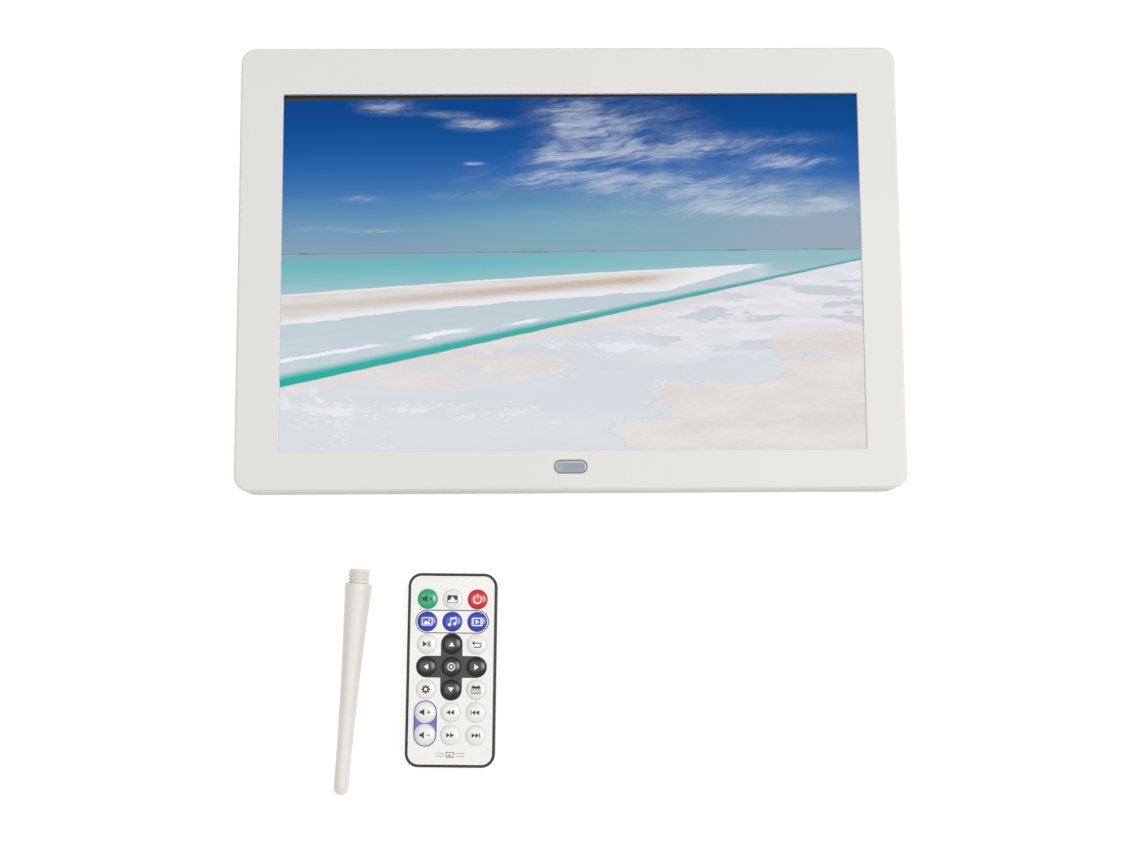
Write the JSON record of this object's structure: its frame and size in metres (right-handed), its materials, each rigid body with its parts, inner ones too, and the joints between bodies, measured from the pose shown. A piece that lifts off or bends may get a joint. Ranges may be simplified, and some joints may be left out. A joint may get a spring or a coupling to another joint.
{
  "type": "digital photo frame",
  "caption": "Wide digital photo frame lying on its back, with a lit landscape picture, beside its screw-in support leg and its card remote control.",
  "frame": {"origin": "centre of the frame's flat rear face, on the surface that the three pieces lie on", "axes": "+X to the right and +Y towards the top edge as the picture is seen, +Z out of the picture"},
  "size_m": [0.2992, 0.3371, 0.024],
  "materials": {
    "bezel_white": "satin off-white moulding",
    "cover_white": "fine-textured off-white moulding",
    "leg_white": "semi-gloss off-white moulding",
    "picture": "lit picture behind a matt anti-glare glass",
    "sheet_metal": "plated sheet steel",
    "film_white": "white film over a light guide",
    "circuit_green": "green solder mask",
    "ribbon_amber": "amber film",
    "window_smoke": "smoked translucent lens",
    "component_black": "black moulding",
    "socket_grey": "grey moulding",
    "screw_steel": "zinc-plated",
    "remote_black": "satin black moulding",
    "remote_silver": "pale silver printed film",
    "key_white": "glossy white dome",
    "key_black": "glossy black dome",
    "key_blue": "glossy blue dome",
    "key_red": "glossy red dome",
    "key_green": "glossy green dome",
    "cell_steel": "nickel-plated steel",
    "contact_gold": "plated spring brass",
    "led_clear": "clear epoxy"
  },
  "bodies": {
    "frame": {"front_bezel": "bezel_white", "rear_cover": "cover_white", "lcd_cell": "picture", "lcd_metal_frame": "sheet_metal", "backlight_unit": "film_white", "panel_bracket_left": "sheet_metal", "panel_bracket_right": "sheet_metal", "main_board": "circuit_green", "lcd_flex_cable": "ribbon_amber", "ir_window": "window_smoke", "ir_receiver": "component_black", "ir_receiver_board": "circuit_green", "speaker_left": "component_black", "speaker_right": "component_black", "leg_socket_landscape": "socket_grey", "leg_socket_portrait": "socket_grey", "memory_card_socket": "sheet_metal", "usb_socket": "sheet_metal", "power_jack": "component_black", "headphone_jack": "component_black", "key_board": "circuit_green", "housing_screw_1": "screw_steel", "housing_screw_2": "screw_steel", "housing_screw_3": "screw_steel", "housing_screw_4": "screw_steel"},
    "rear_key_power": {"rear_key_power": "socket_grey"},
    "rear_key_menu": {"rear_key_menu": "socket_grey"},
    "rear_key_up": {"rear_key_up": "socket_grey"},
    "rear_key_ok": {"rear_key_ok": "socket_grey"},
    "rear_key_down": {"rear_key_down": "socket_grey"},
    "leg": {"support_leg": "leg_white"},
    "remote": {"remote_case": "remote_black", "remote_face_plate": "remote_silver", "remote_circuit_board": "circuit_green", "remote_ir_led": "led_clear", "battery_contact_positive": "contact_gold", "battery_contact_negative": "contact_gold"},
    "battery_drawer": {"battery_tray": "remote_black", "coin_cell": "cell_steel"},
    "key_mute": {"key_mute": "key_green"},
    "key_slideshow": {"key_slideshow": "key_white"},
    "key_power": {"key_power": "key_red"},
    "key_photo": {"key_photo": "key_blue"},
    "key_music": {"key_music": "key_blue"},
    "key_video": {"key_video": "key_blue"},
    "key_play": {"key_play": "key_white"},
    "key_up": {"key_up": "key_black"},
    "key_return": {"key_return": "key_white"},
    "key_left": {"key_left": "key_black"},
    "key_ok": {"key_ok": "key_black"},
    "key_right": {"key_right": "key_black"},
    "key_setup": {"key_setup": "key_white"},
    "key_down": {"key_down": "key_black"},
    "key_calendar": {"key_calendar": "key_white"},
    "key_volume_up": {"key_volume_up": "key_white"},
    "key_rewind": {"key_rewind": "key_white"},
    "key_previous": {"key_previous": "key_white"},
    "key_volume_down": {"key_volume_down": "key_white"},
    "key_forward": {"key_forward": "key_white"},
    "key_next": {"key_next": "key_white"}
  },
  "joints": [
    {"name": "rear_key_power_press", "type": "slide", "parent": "frame", "child": "rear_key_power", "axis": [0, 0, 1], "range_m": [0, 0.0005], "stiffness_N_per_m": 300},
    {"name": "rear_key_menu_press", "type": "slide", "parent": "frame", "child": "rear_key_menu", "axis": [0, 0, 1], "range_m": [0, 0.0005], "stiffness_N_per_m": 300},
    {"name": "rear_key_up_press", "type": "slide", "parent": "frame", "child": "rear_key_up", "axis": [0, 0, 1], "range_m": [0, 0.0005], "stiffness_N_per_m": 300},
    {"name": "rear_key_ok_press", "type": "slide", "parent": "frame", "child": "rear_key_ok", "axis": [0, 0, 1], "range_m": [0, 0.0005], "stiffness_N_per_m": 300},
    {"name": "rear_key_down_press", "type": "slide", "parent": "frame", "child": "rear_key_down", "axis": [0, 0, 1], "range_m": [0, 0.0005], "stiffness_N_per_m": 300},
    {"name": "leg_lift", "type": "slide", "parent": "frame", "child": "leg", "axis": [0, 0, 1], "range_m": [0, 0.1]},
    {"name": "remote_lift", "type": "slide", "parent": "frame", "child": "remote", "axis": [0, 0, 1], "range_m": [0, 0.1]},
    {"name": "battery_drawer_slide", "type": "slide", "parent": "remote", "child": "battery_drawer", "axis": [-0.0171, -0.9999, 0], "range_m": [0, 0.027]},
    {"name": "key_mute_press", "type": "slide", "parent": "remote", "child": "key_mute", "axis": [0, 0, -1], "range_m": [0, 0.0005], "stiffness_N_per_m": 200},
    {"name": "key_slideshow_press", "type": "slide", "parent": "remote", "child": "key_slideshow", "axis": [0, 0, -1], "range_m": [0, 0.0005], "stiffness_N_per_m": 200},
    {"name": "key_power_press", "type": "slide", "parent": "remote", "child": "key_power", "axis": [0, 0, -1], "range_m": [0, 0.0005], "stiffness_N_per_m": 200},
    {"name": "key_photo_press", "type": "slide", "parent": "remote", "child": "key_photo", "axis": [0, 0, -1], "range_m": [0, 0.0005], "stiffness_N_per_m": 200},
    {"name": "key_music_press", "type": "slide", "parent": "remote", "child": "key_music", "axis": [0, 0, -1], "range_m": [0, 0.0005], "stiffness_N_per_m": 200},
    {"name": "key_video_press", "type": "slide", "parent": "remote", "child": "key_video", "axis": [0, 0, -1], "range_m": [0, 0.0005], "stiffness_N_per_m": 200},
    {"name": "key_play_press", "type": "slide", "parent": "remote", "child": "key_play", "axis": [0, 0, -1], "range_m": [0, 0.0005], "stiffness_N_per_m": 200},
    {"name": "key_up_press", "type": "slide", "parent": "remote", "child": "key_up", "axis": [0, 0, -1], "range_m": [0, 0.0005], "stiffness_N_per_m": 200},
    {"name": "key_return_press", "type": "slide", "parent": "remote", "child": "key_return", "axis": [0, 0, -1], "range_m": [0, 0.0005], "stiffness_N_per_m": 200},
    {"name": "key_left_press", "type": "slide", "parent": "remote", "child": "key_left", "axis": [0, 0, -1], "range_m": [0, 0.0005], "stiffness_N_per_m": 200},
    {"name": "key_ok_press", "type": "slide", "parent": "remote", "child": "key_ok", "axis": [0, 0, -1], "range_m": [0, 0.0005], "stiffness_N_per_m": 200},
    {"name": "key_right_press", "type": "slide", "parent": "remote", "child": "key_right", "axis": [0, 0, -1], "range_m": [0, 0.0005], "stiffness_N_per_m": 200},
    {"name": "key_setup_press", "type": "slide", "parent": "remote", "child": "key_setup", "axis": [0, 0, -1], "range_m": [0, 0.0005], "stiffness_N_per_m": 200},
    {"name": "key_down_press", "type": "slide", "parent": "remote", "child": "key_down", "axis": [0, 0, -1], "range_m": [0, 0.0005], "stiffness_N_per_m": 200},
    {"name": "key_calendar_press", "type": "slide", "parent": "remote", "child": "key_calendar", "axis": [0, 0, -1], "range_m": [0, 0.0005], "stiffness_N_per_m": 200},
    {"name": "key_volume_up_press", "type": "slide", "parent": "remote", "child": "key_volume_up", "axis": [0, 0, -1], "range_m": [0, 0.0005], "stiffness_N_per_m": 200},
    {"name": "key_rewind_press", "type": "slide", "parent": "remote", "child": "key_rewind", "axis": [0, 0, -1], "range_m": [0, 0.0005], "stiffness_N_per_m": 200},
    {"name": "key_previous_press", "type": "slide", "parent": "remote", "child": "key_previous", "axis": [0, 0, -1], "range_m": [0, 0.0005], "stiffness_N_per_m": 200},
    {"name": "key_volume_down_press", "type": "slide", "parent": "remote", "child": "key_volume_down", "axis": [0, 0, -1], "range_m": [0, 0.0005], "stiffness_N_per_m": 200},
    {"name": "key_forward_press", "type": "slide", "parent": "remote", "child": "key_forward", "axis": [0, 0, -1], "range_m": [0, 0.0005], "stiffness_N_per_m": 200},
    {"name": "key_next_press", "type": "slide", "parent": "remote", "child": "key_next", "axis": [0, 0, -1], "range_m": [0, 0.0005], "stiffness_N_per_m": 200}
  ]
}
